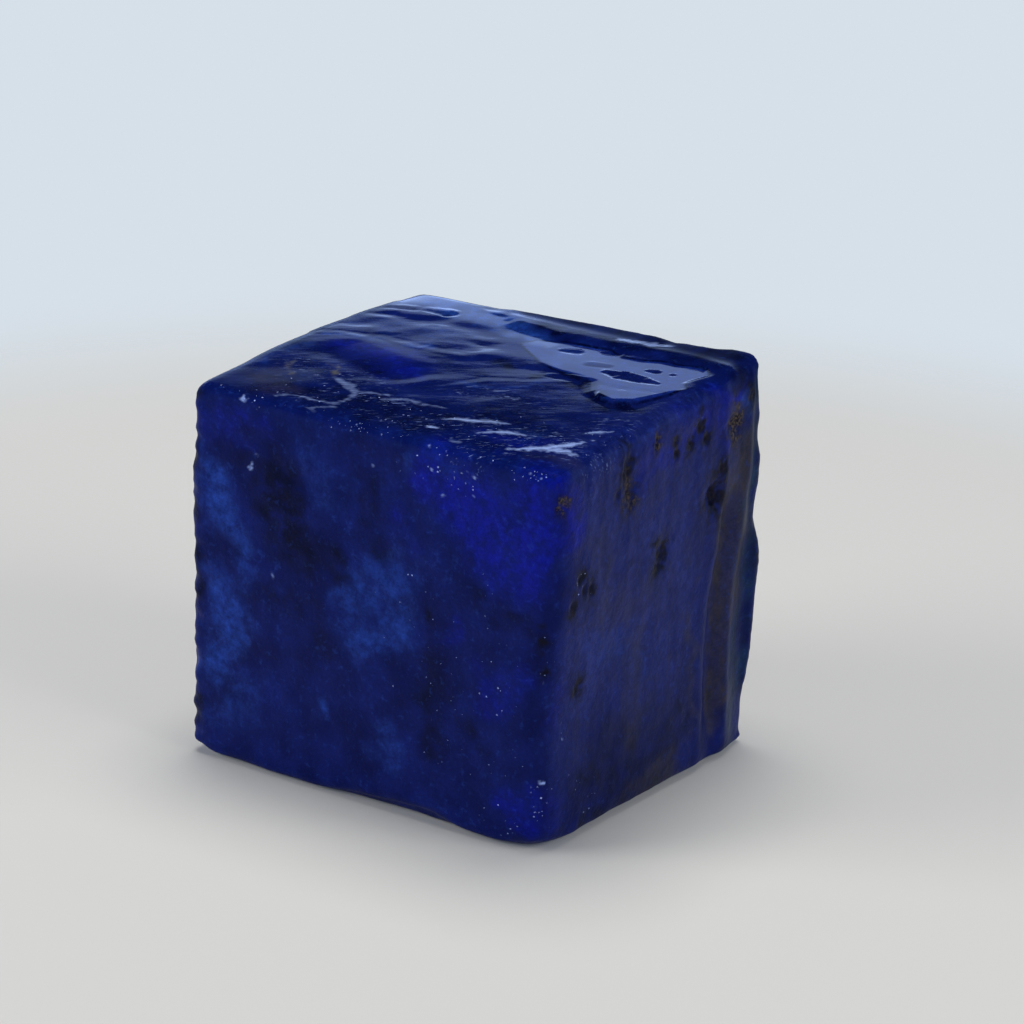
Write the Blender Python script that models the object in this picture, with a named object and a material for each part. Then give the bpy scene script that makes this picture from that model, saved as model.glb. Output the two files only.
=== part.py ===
"""A rough tanzanite: one squarish block of gem rough, lying on its flattest side.

Frame: +Z up, the origin under the middle of the block at its base. -Y is the broad satin
face, +X the striated face with the trough, and the glossy top climbs from the front to a
level shelf and a raised rim along the back edge.
"""

import math

import bmesh
import bpy
from mathutils import Vector, noise

NAME = "rough_tanzanite"
MM = 0.001

# Driving dimensions, in millimetres.
WIDTH = 28.6
DEPTH = 25.0
HEIGHT = 26.4
FOOT_SHIFT = {  # how far each foot stands off the corner of the plain block, in X and Y
    "front_left": (-0.1, 0.0),
    "front_right": (-0.6, 0.25),
    "back_right": (-0.1, -0.3),
    "back_left": (0.2, -0.1),
}
HEAD_SHIFT = {  # the same for the corners of the top
    "front_left": (0.0, -0.2),
    "front_right": (0.25, -0.1),
    "back_right": (-0.3, 0.2),
    "back_left": (0.0, 0.0),
}
EDGE_RADIUS = 0.9
EDGE_RADII = {  # the edges and corners that are crisper or rounder, by the direction to each
    (0, -1, 1): 0.45,
    (-1, -1, 1): 1.4,
    (1, -1, 0): 1.3,
    (0, -1, -1): 0.7,
    (1, -1, -1): 1.5,
}
EDGE_REACH = 3.5  # an edge's own radius fades out this far from it

# Mesh density: cells along each side of the block, and how much they crowd towards its edges.
CELLS = 24
CROWDING = 0.45
DETAIL_REACH = 1.4  # cells are halved this far round a pit, in multiples of its radii
DETAIL_MARGIN = 0.9  # and this far either side of a ledge or the trough, in millimetres

# How far the rounded front right edge sways sideways on its way up, as (Z, shift in X).
FRONT_EDGE_SWAY = [(0.0, 0.0), (4.5, 0.0), (9.5, -0.35), (17.5, 0.35), (HEIGHT, 0.15)]

# The top, at its left and right end: the front edge's height, the climb from there to the
# shelf, and the fall from the shelf to the back edge.
FRONT_HEIGHT = (25.85, 25.7)
FRONT_CLIMB = (0.7, 0.9)
BACK_FALL = (0.42, 0.0)
CLIMB_CURVE = 1.7  # 1 is an even slope, and more is steeper at the front
LEDGE_RUN = 0.95  # each ledge rises over this far, from a foot line of (X, Y, rise)
SHELF_LEDGE = [
    (-14.4, 0.2, 0.05),
    (-10.2, 1.5, 0.08),
    (-5.9, 1.9, 0.1),
    (2.8, 1.9, 0.14),
    (6.9, 1.8, 0.26),
    (9.0, 1.0, 0.36),
    (10.9, 1.6, 0.38),
    (14.4, 2.9, 0.3),
]
BACK_LEDGE = [
    (-14.4, 4.1, 0.1),
    (-11.8, 5.5, 0.18),
    (-9.0, 5.8, 0.2),
    (-5.3, 6.5, 0.12),
    (-2.9, 7.3, 0.0),
]
RIM_LEDGE = [
    (-6.9, 11.3, 0.0),
    (-5.8, 10.1, 0.22),
    (-2.9, 8.2, 0.38),
    (0.7, 7.6, 0.42),
    (6.6, 8.1, 0.42),
    (10.5, 8.5, 0.42),
    (14.4, 7.6, 0.42),
]
TOP_LEDGES = (SHELF_LEDGE, BACK_LEDGE, RIM_LEDGE)
CLEAR_RISE = 0.15  # ledges lower than this need no finer mesh

# The trough down the striated face: its middle as (Z, Y), with a lip along either side.
TROUGH_LINE = [(0.0, 7.3), (5.2, 7.1), (11.8, 7.2), (17.0, 8.4), (20.5, 8.9)]
TROUGH_HALF_WIDTH = 1.4
TROUGH_DEPTH = 0.7
TROUGH_HEAD_Z = (16.5, 20.0)
TROUGH_FOOT_Z = (0.0, 5.0)
FOOT_SHARE = 0.35  # how much of its depth the trough keeps at the very foot
LIP_RISE = 0.2
LIP_HALF_WIDTH = 0.85
LIP_OFFSET = 0.25
FAR_FACET_SLOPE = 0.2

# How far the upright edge behind the trough stands out, as (Z, distance).
BACK_EDGE_PROFILE = [
    (0.0, 0.0),
    (3.0, 0.2),
    (8.0, 0.6),
    (13.6, 0.85),
    (16.4, 0.05),
    (19.6, 0.5),
    (21.6, -0.05),
    (24.0, 0.2),
    (HEIGHT, 0.0),
]

# Pits: place on the face, radius across, radius along and depth, in the face's own two axes.
FACES = {  # name: outward axis, the face's own two axes, outward belly, pits
    "front": (Vector((0, -1, 0)), (0, 2), 0.12, [
        (-5.4, 21.4, 1.7, 1.3, 0.12),
        (3.9, 10.4, 1.5, 1.9, 0.12),
        (-2.2, 4.2, 1.4, 1.1, 0.1),
    ]),
    "side": (Vector((1, 0, 0)), (1, 2), 0.1, [
        (6.0, 19.4, 1.3, 1.0, 0.5),
        (8.0, 23.8, 1.0, 0.85, 0.4),
        (-4.1, 23.0, 0.8, 1.5, 0.32),
        (0.0, 17.2, 1.0, 0.8, 0.3),
        (3.3, 24.5, 1.2, 0.8, 0.25),
    ]),
    "back": (Vector((0, 1, 0)), (0, 2), 0.3, [
        (-8.8, 17.2, 1.7, 1.3, 0.5),
        (4.2, 8.3, 1.2, 1.6, 0.4),
        (9.6, 19.8, 1.1, 1.0, 0.4),
    ]),
    "left": (Vector((-1, 0, 0)), (1, 2), 0.2, [
        (-5.8, 18.6, 1.4, 1.1, 0.45),
        (4.4, 20.2, 1.1, 1.4, 0.35),
        (7.2, 8.5, 1.6, 1.2, 0.5),
    ]),
    "top": (Vector((0, 0, 1)), (0, 1), 0.0, [
        (9.3, 4.9, 1.9, 0.75, 0.16),
        (-8.2, 6.9, 1.1, 0.9, 0.16),
        (-2.8, 4.0, 1.7, 0.9, 0.14),
    ]),
    "underside": (Vector((0, 0, -1)), (0, 1), 0.0, [
        (-7.5, 4.2, 1.5, 1.2, 0.3),
        (6.8, -5.6, 1.3, 1.6, 0.3),
        (8.4, 6.1, 1.1, 1.0, 0.25),
    ]),
}
SLABS = [  # sheets split off a wall: face, point on the rim, angle the sheet lay at, depth
    ("back", (-3.0, 13.0), 160, 0.55),
    ("back", (6.0, 15.0), -25, 0.3),
    ("left", (2.5, 10.0), -12, 0.4),
]
SLAB_RUN = 1.0

# Flat splinters off the corners: a point on the break, and its outward direction.
SPLINTERS = [
    ((-13.9, -11.7, 0.8), (-0.5, -0.25, -0.8)),
    ((14.1, 12.3, 26.5), (0.55, 0.5, 0.66)),
    ((-13.3, 11.2, 7.0), (-0.7, 0.7, 0.1)),
    ((2.0, -11.6, 0.4), (0.05, -0.6, -0.8)),
]
SPLINTER_REACH = 5.5

# Wear: long waves on every face, scallops down the upright edges and chips on all of them.
WAVE_SIZE = 7.0
WAVE_HEIGHT = 0.15
TOP_WAVE_SHARE = 0.35
SCALLOP_PITCH = 2.8
SCALLOP_DEPTH = 0.12
CHIP_SIZE = 2.2
CHIP_DEPTH = 0.3

HALF = Vector((WIDTH / 2, DEPTH / 2, HEIGHT / 2))
CORNER_SIDES = {
    "front_left": (-1, -1),
    "front_right": (1, -1),
    "back_right": (1, 1),
    "back_left": (-1, 1),
}


def ease(low, high, value):
    """0 below low, 1 above high, and a smooth rise between them."""
    t = min(1.0, max(0.0, (value - low) / (high - low)))
    return t * t * (3 - 2 * t)


def dome(distance):
    """1 in the middle, 0 from a distance of 1 outwards, with no crease at either."""
    return max(0.0, 1 - distance * distance) ** 2


def mix(a, b, share):
    return a + (b - a) * share


def along(line, place):
    """What a line of (place, value, ...) entries holds at a place, eased between its entries."""
    if place <= line[0][0]:
        return line[0][1:]
    for start, end in zip(line, line[1:]):
        if place < end[0]:
            share = ease(start[0], end[0], place)
            return tuple(mix(a, b, share) for a, b in zip(start[1:], end[1:]))
    return line[-1][1:]


def crowded(t):
    """Moves a grid position between -1 and 1 towards the nearer end, where the edges turn."""
    return mix(t, math.sin(t * math.pi / 2), CROWDING)


def edge_radius(flat):
    """The radius that the edges have near a point of the sharp block."""
    radius = EDGE_RADIUS * (1 + 0.3 * noise.noise(flat / 6))
    for direction, own in EDGE_RADII.items():
        gaps = [HALF[i] - direction[i] * flat[i] for i in range(3) if direction[i]]
        radius += (own - EDGE_RADIUS) * (1 - ease(1.0, EDGE_REACH, math.hypot(*gaps)))
    return max(0.3, radius)


def top_height(x, y):
    """The height of the top: the climb from the front edge, and the ledges behind it."""
    across = min(1.0, max(0.0, x / WIDTH + 0.5))
    foot = along(SHELF_LEDGE, x)[0]
    share = min(1.0, max(0.0, (y + DEPTH / 2) / (foot + DEPTH / 2)))
    height = mix(*FRONT_HEIGHT, across)
    height += mix(*FRONT_CLIMB, across) * (1 - (1 - share) ** CLIMB_CURVE)
    height -= mix(*BACK_FALL, across) * max(0.0, y - foot) / (DEPTH / 2 - foot)
    for line in TOP_LEDGES:
        foot, rise = along(line, x)
        height += rise * ease(0, LEDGE_RUN, y - foot)
    return height


def plain_block(cell):
    """A point of the cube from -1 to 1, carried to the uneven block, with its outward normal."""
    flat = Vector([HALF[i] * crowded(cell[i]) for i in range(3)])
    radius = edge_radius(flat)
    core = Vector([max(radius - HALF[i], min(HALF[i] - radius, flat[i])) for i in range(3)])
    normal = (flat - core).normalized()
    point = core + normal * radius
    up = (point.z / HALF.z + 1) / 2
    moved = Vector((point.x, point.y, 0))
    for corner, (side_x, side_y) in CORNER_SIDES.items():
        weight = (1 + side_x * point.x / HALF.x) * (1 + side_y * point.y / HALF.y) / 4
        foot, head = FOOT_SHIFT[corner], HEAD_SHIFT[corner]
        moved.x += weight * mix(foot[0], head[0], up)
        moved.y += weight * mix(foot[1], head[1], up)
        if corner == "front_right":
            moved.x += weight * along(FRONT_EDGE_SWAY, up * HEIGHT)[0]
    moved.z = up * top_height(moved.x, moved.y)
    return moved, normal


def facing(normal, axis):
    """1 on the face that looks along axis, fading to 0 over its rounded edges."""
    return ease(0.45, 0.95, normal.dot(axis))


def pit_offset(point, axes, pit):
    """Distance from the middle of a pit, where 1 is its rim."""
    across, along_face, radius_across, radius_along = pit[:4]
    return math.hypot(
        (point[axes[0]] - across) / radius_across,
        (point[axes[1]] - along_face) / radius_along,
    )


def face_relief(point, face):
    """The belly, pits and split-off sheets of one face, as distance outwards."""
    _, (a, b), belly, pits = FACES[face]
    low = [-HALF.x, -HALF.y, 0]
    shares = [2 * (point[i] - low[i]) / (2 * HALF[i]) - 1 for i in (a, b)]
    out = belly * max(0.0, 1 - shares[0] ** 2) * max(0.0, 1 - shares[1] ** 2)
    for pit in pits:
        out -= pit[4] * dome(pit_offset(point, (a, b), pit))
    for place, rim, angle, depth in SLABS:
        if place == face:
            turn = math.radians(angle)
            inside = (point[a] - rim[0]) * math.cos(turn) + (point[b] - rim[1]) * math.sin(turn)
            out -= depth * ease(0, SLAB_RUN, inside)
    return out


def trough_relief(point):
    """The trough, its two lips and the facet beyond it on the +X face, as distance outwards."""
    y, z = point.y, point.z
    middle = along(TROUGH_LINE, z)[0]
    head = 1 - ease(*TROUGH_HEAD_Z, z)
    foot = mix(FOOT_SHARE, 1, ease(*TROUGH_FOOT_Z, z))
    out = -head * foot * TROUGH_DEPTH * dome((y - middle) / TROUGH_HALF_WIDTH)
    for side in (-1, 1):
        lip = middle + side * (TROUGH_HALF_WIDTH + LIP_OFFSET)
        out += LIP_RISE * foot * dome((y - lip) / LIP_HALF_WIDTH)
    return out - FAR_FACET_SLOPE * max(0.0, y - middle - TROUGH_HALF_WIDTH)


def wear(point, normal):
    """Long waves, and the chips and scallops eaten out of the edges, as distance outwards."""
    sharpness = ease(0.05, 0.25, 1 - max(abs(n) for n in normal))
    upright = 1 - ease(0.1, 0.5, abs(normal.z))
    phase = 2 * math.pi * point.z / SCALLOP_PITCH + point.x
    scallops = SCALLOP_DEPTH * upright * (1 + math.sin(phase)) / 2
    chips = CHIP_DEPTH * max(0.0, noise.noise(point / CHIP_SIZE + Vector((9.2, 0.4, 5.5))))
    calm = mix(1, TOP_WAVE_SHARE, ease(0.5, 0.9, normal.z))
    waves = calm * WAVE_HEIGHT * noise.noise(point / WAVE_SIZE + Vector((3.1, 7.4, 1.9)))
    return waves - sharpness * (scallops + chips)


def splinter_off(point):
    """Flattens a point onto any corner break that it stands out beyond."""
    for place, direction in SPLINTERS:
        place, outward = Vector(place), Vector(direction).normalized()
        beyond = (point - place).dot(outward)
        nearness = 1 - ease(0.6, 1.0, (point - place).length / SPLINTER_REACH)
        if beyond > 0:
            point = point - outward * beyond * nearness
    return point


def stone_surface(cell):
    """Where a point of the plain cube lies on the finished stone, in millimetres."""
    point, normal = plain_block(cell)
    out = wear(point, normal)
    for face, (axis, *_) in FACES.items():
        share = facing(normal, axis)
        if share > 0:
            out += share * face_relief(point, face)
    out += facing(normal, Vector((1, 0, 0))) * trough_relief(point)
    back_edge = 2 * max(0.0, normal.x) * max(0.0, normal.y)
    out += back_edge * along(BACK_EDGE_PROFILE, point.z)[0]
    moved = splinter_off(point + normal * out)
    rests = ease(0.9, 0.99, -normal.z)
    hollow = max(0.0, -face_relief(point, "underside"))
    moved.z = max(0.0, mix(moved.z, hollow, rests))
    return moved


def needs_detail(cell):
    """True where the plain grid is too coarse: at pits, clear ledges and the trough."""
    point, normal = plain_block(cell)
    for axis, axes, _, pits in FACES.values():
        if normal.dot(axis) > 0.7 and any(
            pit_offset(point, axes, pit) < DETAIL_REACH for pit in pits
        ):
            return True
    if normal.x > 0.7:
        reach = TROUGH_HALF_WIDTH + DETAIL_MARGIN
        return abs(point.y - along(TROUGH_LINE, point.z)[0]) < reach
    if normal.z > 0.7:
        for line in TOP_LEDGES:
            foot, rise = along(line, point.x)
            if rise > CLEAR_RISE and abs(point.y - foot - LEDGE_RUN / 2) < DETAIL_MARGIN:
                return True
    return False


def carve_stone():
    """The stone as one closed mesh, standing on Z = 0 with its box centred on the origin."""
    form = bmesh.new()
    bmesh.ops.create_cube(form, size=2)
    bmesh.ops.subdivide_edges(form, edges=form.edges, cuts=CELLS - 1, use_grid_fill=True)
    detailed = {face for face in form.faces if needs_detail(face.calc_center_median())}
    edges = [edge for edge in form.edges if not detailed.isdisjoint(edge.link_faces)]
    bmesh.ops.subdivide_edges(form, edges=edges, cuts=1, use_grid_fill=True)
    for vertex in form.verts:
        vertex.co = stone_surface(vertex.co) * MM
    bmesh.ops.triangulate(form, faces=form.faces, quad_method="SHORT_EDGE")
    lows = [min(v.co[i] for v in form.verts) for i in range(3)]
    highs = [max(v.co[i] for v in form.verts) for i in range(3)]
    middle = Vector(((lows[0] + highs[0]) / 2, (lows[1] + highs[1]) / 2, lows[2]))
    bmesh.ops.translate(form, verts=form.verts, vec=-middle)
    mesh = bpy.data.meshes.new(NAME)
    form.to_mesh(mesh)
    form.free()
    return mesh


def tanzanite_material():
    """Deep violet-blue gem rough with a waxy polish."""
    material = bpy.data.materials.new("tanzanite")
    material.use_nodes = True
    shader = material.node_tree.nodes["Principled BSDF"]
    shader.inputs["Base Color"].default_value = (0.008, 0.012, 0.12, 1)
    shader.inputs["Roughness"].default_value = 0.25
    shader.inputs["Metallic"].default_value = 0.0
    shader.inputs["IOR"].default_value = 1.69
    return material


def main():
    for leftover in list(bpy.data.objects):
        bpy.data.objects.remove(leftover)
    collection = bpy.data.collections.new("rough_tanzanite_part")
    bpy.context.scene.collection.children.link(collection)
    stone = bpy.data.objects.new(NAME, carve_stone())
    stone.data.materials.append(tanzanite_material())
    stone.data.shade_smooth()
    stone.data.set_sharp_from_angle(angle=math.radians(40))
    collection.objects.link(stone)


main()
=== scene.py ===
import math
import bmesh
import bpy
import numpy as np
from mathutils import Matrix, Vector, noise


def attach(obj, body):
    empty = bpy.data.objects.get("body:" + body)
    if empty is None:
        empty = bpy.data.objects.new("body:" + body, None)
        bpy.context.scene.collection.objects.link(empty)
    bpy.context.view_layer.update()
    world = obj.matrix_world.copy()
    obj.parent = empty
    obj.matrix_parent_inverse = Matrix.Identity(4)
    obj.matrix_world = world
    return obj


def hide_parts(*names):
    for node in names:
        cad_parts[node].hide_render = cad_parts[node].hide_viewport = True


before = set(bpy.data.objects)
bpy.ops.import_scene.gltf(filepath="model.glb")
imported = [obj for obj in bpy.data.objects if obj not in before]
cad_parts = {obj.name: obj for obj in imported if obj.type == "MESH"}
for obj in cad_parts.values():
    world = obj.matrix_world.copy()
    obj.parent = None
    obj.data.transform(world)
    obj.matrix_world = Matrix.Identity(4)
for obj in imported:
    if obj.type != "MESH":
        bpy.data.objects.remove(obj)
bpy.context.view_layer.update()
mm = 0.001
scene = bpy.context.scene


def linear(hexColour):  # "1B2F7A" as seen on a screen, to the linear RGBA that shaders take
    channels = [int(hexColour[i:i + 2], 16) / 255 for i in (0, 2, 4)]
    return [c / 12.92 if c <= 0.04045 else ((c + 0.055) / 1.055) ** 2.4 for c in channels] + [1.0]


def addNode(tree, kind, settings=None, links=None):  # a shader node with its settings and links
    node = tree.nodes.new(kind)
    for name, value in (settings or {}).items():
        if isinstance(name, str) and hasattr(node, name):
            setattr(node, name, value)
        else:
            node.inputs[name].default_value = value
    for name, socket in (links or {}).items():
        tree.links.new(socket, node.inputs[name])
    return node


def ease(low, high, value):  # 0 below low, 1 above high, smooth between
    share = np.clip((value - low) / (high - low), 0, 1)
    return share * share * (3 - 2 * share)


def dome(distance):  # 1 in the middle, 0 from 1 outwards
    return np.clip(1 - distance ** 2, 0, 1) ** 2


def noiseAt(points, size, seed):  # soft noise, about -0.7 to 0.7, with lumps size mm across
    placed = points / np.array(size, float) + np.array((seed, 1.7 * seed, -seed))
    return np.array([noise.noise(p) for p in placed.tolist()])


# The nearest place on a stroke, which is a row of points that each end in a radius. Gives the
# way back to it in mm, how far inside (below 0) or outside its rim each point is, and the radius.
def nearestOn(points, stroke):
    dims = len(stroke[0]) - 1
    stroke = [np.array(place, float) for place in stroke]
    if len(stroke) == 1:
        stroke = stroke * 2
    gap = np.full(len(points), 1e9)
    offset, width = np.zeros((len(points), dims)), np.zeros(len(points))
    for start, end in zip(stroke, stroke[1:]):
        run = end[:dims] - start[:dims]
        share = np.clip((points[:, :dims] - start[:dims]) @ run / max(run @ run, 1e-9), 0, 1)
        back = points[:, :dims] - start[:dims] - share[:, None] * run
        radius = start[dims] + share * (end[dims] - start[dims])
        past = np.sqrt((back ** 2).sum(1)) - radius
        closer = past < gap
        gap = np.where(closer, past, gap)
        offset = np.where(closer[:, None], back, offset)
        width = np.where(closer, radius, width)
    return offset, gap, width


def withinStroke(points, stroke, softness):  # 1 well inside the stroke, 0 outside
    _, past, width = nearestOn(points, stroke)
    return 1 - ease(-softness, softness, past / width)


def withinOutline(points, outline, softness):  # the same for a closed outline of (x, y) points
    closed = outline + outline[:1]
    x, y = points[:, 0], points[:, 1]
    inside = np.zeros(len(points), bool)
    for (x0, y0), (x1, y1) in zip(closed, closed[1:]):
        if y0 != y1:
            crosses = (y0 > y) != (y1 > y)
            inside ^= crosses & (x < (x1 - x0) * (y - y0) / (y1 - y0) + x0)
    _, past, _ = nearestOn(points, [(a, b, 0.0) for a, b in closed])
    return ease(-softness, softness, np.where(inside, past, -past))


stone = {
    "weldGap": 0.001,           # mm, within which the solid's loose triangles are joined
    "quadAngle": 40,            # degrees, within which two triangles make one face
    "smoothing": 0.5,           # how far the points of each refining are drawn in
    "sideFacing": 0.4,          # how squarely a face looks to the front or right to be refined
    "topFacing": 0.6,           # and how squarely upwards to belong to the top
    "finestTo": (2.5, 9.0),     # mm in y, how far back its left and right half are finest
    "spotMargin": 0.2,          # mm around each pit and chip that are refined with it
    "swell": 0.1,               # mm, given back after the rounding has drawn the block in
    "rippleSizes": ((4.2, 2.4, 3.0), (2.0, 1.0, 1.5), (0.9, 0.34, 0.6)),  # mm along the
    "rippleHeights": (0.04, 0.011, 0.005),  # ledges, across them and up; and how high, in mm
    "roughRipple": 2.7,         # how much higher they stand on the dull back left
    "calmRipple": 0.12,         # and how much is left of them in the calm places
    "skinSizes": (1.6, 0.6),    # mm, the sides' lumps
    "skinHeights": (0.045, 0.02),
    "furrowSize": (0.9, 0.7, 6.0),  # mm, the upright furrows of the trough side
    "furrowHeight": 0.025,
    "fluteSize": (0.6, 0.5, 2.4),  # mm, deeper ones under the near end of its upper edge
    "fluteHeight": 0.11,
    "nickSize": (1.4, 1.4, 0.75),  # mm, the nicks of the left upright edge
    "nickHeight": 0.2,
    "pitSquash": (1.0, 1.0, 0.72),  # of upright distances, which makes the pits taller
    "fray": 0.09,               # mm, how ragged the outlines of the level steps are
    "fraySize": (0.7, 0.2, 0.5),
    "crumbSize": 0.4,           # mm, how ragged the pits and chips are
    "shelfLevel": 26.79,        # mm, the level shelf's height at (8, 5)
    "shelfMiddle": (8, 5),
    "shelfSlope": (0.02, -0.015),
}
climbWay = np.array((-0.565, 0.825))  # the way that the top's front half climbs, to the back left
seeds = {
    "ripples": (2.1, 5.7, 8.3), "fray": 7.7, "skin": (3.3, 6.9), "furrows": 4.4, "flutes": 1.8,
    "nicks": 5.2, "crumbs": 9.5, "bends": (1.1, 2.2, 3.3), "ragged": 6.1, "torn": 3.6,
}
softness = {                    # of outlines in mm, and of strokes in radii
    "shelf": 0.28, "ramp": 0.8, "onRamp": 0.8, "calmShelf": 0.16, "calm": 0.4, "rough": 0.5,
    "flutes": 0.6, "nicks": 0.6, "wax": 0.12,
}
# Where a share rises from 0 to 1, or falls from 1 to 0.
fades = {
    "topShape": (0.6, 0.95),    # over how squarely the surface looks upwards
    "topColour": (0.75, 0.97),
    "sideShape": (0.5, 0.95),   # to the right
    "sideColour": (0.4, 0.9),
    "underside": (0.5, 0.9),    # downwards
    "slant": (-0.5, 0.0),       # in radii from a stroke's rim
    "bare": (-0.1, 0.3),
    "mark": (-0.8, 1.0),
    "dimple": (0.0, 0.2),       # in mm from it
    "glintAndScuff": (-0.05, 0.12),
    "chip": (0.3, 1.1),         # in radii from the middle
    "rust": (0.3, 1.25),
    "pitDark": (0.1, 1.9),
    "wax": (0.5, 1.0),          # over the share of the shelf
    "riserFoot": (0.02, 0.3),
    "riserHead": (0.45, 0.8),
}

# Strokes on the top are rows of (x, y, radius) in mm, and the shelf is an outline of (x, y).
shelf = [(9.1, -0.5), (10.6, -1.15), (11.85, -0.2), (12.4, 2.0), (13.03, 4.0), (12.33, 4.9),
         (12.45, 5.9), (12.73, 7.25), (11.95, 8.23), (10.89, 8.31), (9.8, 7.96), (8.52, 8.0),
         (7.38, 7.47), (5.94, 7.38), (4.43, 8.1), (2.81, 8.0), (0.91, 7.8), (-0.75, 7.2),
         (-1.4, 6.06), (0.36, 4.6), (2.34, 3.1), (3.59, 2.6), (5.06, 2.2), (7.2, 1.7),
         (8.2, 0.2)]
shelfRamp = [(5.6, 2.0, 0.8), (7.4, 1.4, 0.9), (8.3, 0.1, 0.5)]  # its softer edge
calmPlaces = [
    [(-12.0, 10.0, 2.4), (-6.0, 9.8, 2.2), (-2.5, 8.0, 1.4), (0.0, 7.0, 0.8)],
    [(-9.8, -1.8, 1.8), (-6.6, -2.4, 2.6), (-4.2, -3.8, 2.0)],
]
roughPlaces = [
    [(-12.5, 3.6, 1.6), (-9.0, 4.2, 2.2), (-5.0, 4.0, 2.2), (-2.5, 1.8, 1.2)],
]
# These two are rows of (x, y, z, radius).
flutes = [(14.3, -9.0, 24.8, 1.2), (14.3, -6.0, 25.2, 1.5), (14.2, -2.5, 25.0, 1.4)]
nicks = [(-14.3, -12.6, 25.0, 0.9), (-14.3, -12.6, 1.5, 0.9)]  # down the left upright edge
# Small level steps: how far each leans back from the slope, how soon it ends in mm, its strokes.
treads = {
    "longStreak": (0.12, 0.12, [
        [(3.2, -8.8, 0.06), (4.13, -8.3, 0.2), (5.02, -8.05, 0.24), (6.0, -7.6, 0.22),
         (7.0, -7.35, 0.06)]]),
    "midStreak": (0.12, 0.12, [
        [(6.3, -9.5, 0.06), (6.9, -8.95, 0.22), (7.8, -8.5, 0.26), (8.9, -8.3, 0.05)]]),
    "lowStreak": (0.12, 0.1, [[(7.8, -9.85, 0.05), (8.3, -9.6, 0.12), (8.9, -9.3, 0.04)]]),
    "fishtail": (0.12, 0.12, [
        [(9.3, -10.7, 0.05), (10.4, -9.95, 0.24), (11.4, -9.2, 0.46), (12.1, -8.2, 0.36),
         (12.7, -7.2, 0.05)],
        [(11.4, -9.3, 0.4), (12.5, -9.1, 0.3), (13.5, -9.2, 0.06)]]),
    "rightStreak": (0.12, 0.12, [[(11.9, -5.95, 0.05), (12.5, -5.2, 0.22), (13.2, -4.75, 0.05)]]),
    "backStreak": (0.08, 0.14, [[(11.9, -3.37, 0.06), (12.4, -2.8, 0.2), (12.8, -2.5, 0.06)]]),
    "edgeStreak": (0.07, 0.12, [[(11.84, -1.55, 0.12), (12.41, -1.4, 0.1)]]),
    "leftStreak": (0.09, 0.14, [
        [(-2.12, -8.26, 0.05), (-1.3, -7.75, 0.13), (-0.3, -7.4, 0.14), (0.6, -7.5, 0.08),
         (2.23, -7.3, 0.03)]]),
    "thinStreak": (0.09, 0.12, [[(-2.41, -9.32, 0.04), (-0.43, -8.56, 0.05)]]),
    "glint1": (0.12, 0.1, [[(5.6, -11.5, 0.1), (6.05, -11.35, 0.1)]]),
    "glint2": (0.12, 0.1, [[(7.5, -11.1, 0.1), (7.85, -10.9, 0.08)]]),
    "glint3": (0.12, 0.1, [[(3.15, -10.45, 0.12), (3.5, -10.3, 0.1)]]),
    "glint4": (0.1, 0.1, [[(9.7, -8.1, 0.06), (10.5, -7.7, 0.08)]]),
    "glint5": (0.1, 0.1, [[(3.0, -3.1, 0.1), (3.5, -2.8, 0.1)]]),
    "glint6": (0.1, 0.1, [[(3.8, -4.2, 0.1), (4.3, -3.9, 0.08)]]),
    "glint7": (0.1, 0.1, [[(5.1, -5.0, 0.1), (5.7, -4.7, 0.06)]]),
    "glint8": (0.1, 0.1, [[(6.6, -3.1, 0.08), (7.1, -2.8, 0.08)]]),
    "glint9": (0.1, 0.1, [[(10.4, -2.9, 0.12), (10.9, -2.6, 0.08)]]),
    "midRidge": (0.035, 0.4, [
        [(-0.4, -4.2, 0.1), (0.5, -3.0, 0.2), (1.2, -1.6, 0.3), (2.6, -0.8, 0.25)],
        [(3.2, -0.5, 0.1), (4.15, 0.2, 0.25), (5.6, 1.4, 0.2)]]),
    "crack": (0.1, 0.06, [
        [(-8.33, -11.5, 0.02), (-7.7, -10.9, 0.05), (-7.0, -10.66, 0.04), (-5.85, -10.75, 0.07),
         (-4.9, -10.68, 0.1), (-4.15, -10.5, 0.1), (-3.97, -9.7, 0.08), (-4.1, -8.6, 0.12),
         (-4.5, -8.1, 0.2), (-5.4, -7.6, 0.3), (-6.9, -6.95, 0.1)],
        [(-4.2, -8.2, 0.08), (-3.4, -7.8, 0.1), (-2.3, -7.46, 0.04)]]),
    "shortCrack": (0.1, 0.08, [
        [(-5.3, -12.0, 0.04), (-4.8, -11.62, 0.09), (-4.0, -10.95, 0.06)]]),
    "scratch": (0.08, 0.08, [
        [(-3.57, -3.95, 0.04), (-1.94, -5.54, 0.06), (-1.49, -6.1, 0.05), (-2.1, -6.8, 0.04)]]),
    "flake": (0.07, 0.14, [[(-8.9, -7.8, 0.05), (-7.8, -7.3, 0.16), (-7.2, -7.4, 0.05)]]),
    "flake2": (0.07, 0.14, [[(-10.3, -7.2, 0.05), (-9.7, -6.5, 0.14), (-9.2, -6.4, 0.05)]]),
    "flake3": (0.08, 0.12, [[(1.0, -6.2, 0.06), (2.4, -5.6, 0.08)]]),
    "hollowRim": (0.05, 0.5, [
        [(-13.2, -0.3, 0.1), (-12.0, 0.5, 0.2), (-10.5, 0.7, 0.25)],
        [(-9.4, 1.5, 0.2), (-7.7, 1.3, 0.3), (-6.0, 1.2, 0.25)],
        [(-5.0, 1.3, 0.2), (-4.4, 1.2, 0.25), (-2.9, 1.3, 0.15)]]),
    "rimGlint": (0.09, 0.14, [
        [(4.2, 9.65, 0.1), (5.4, 9.85, 0.4), (6.6, 10.05, 0.6), (7.8, 10.25, 0.06)]]),
}
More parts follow.
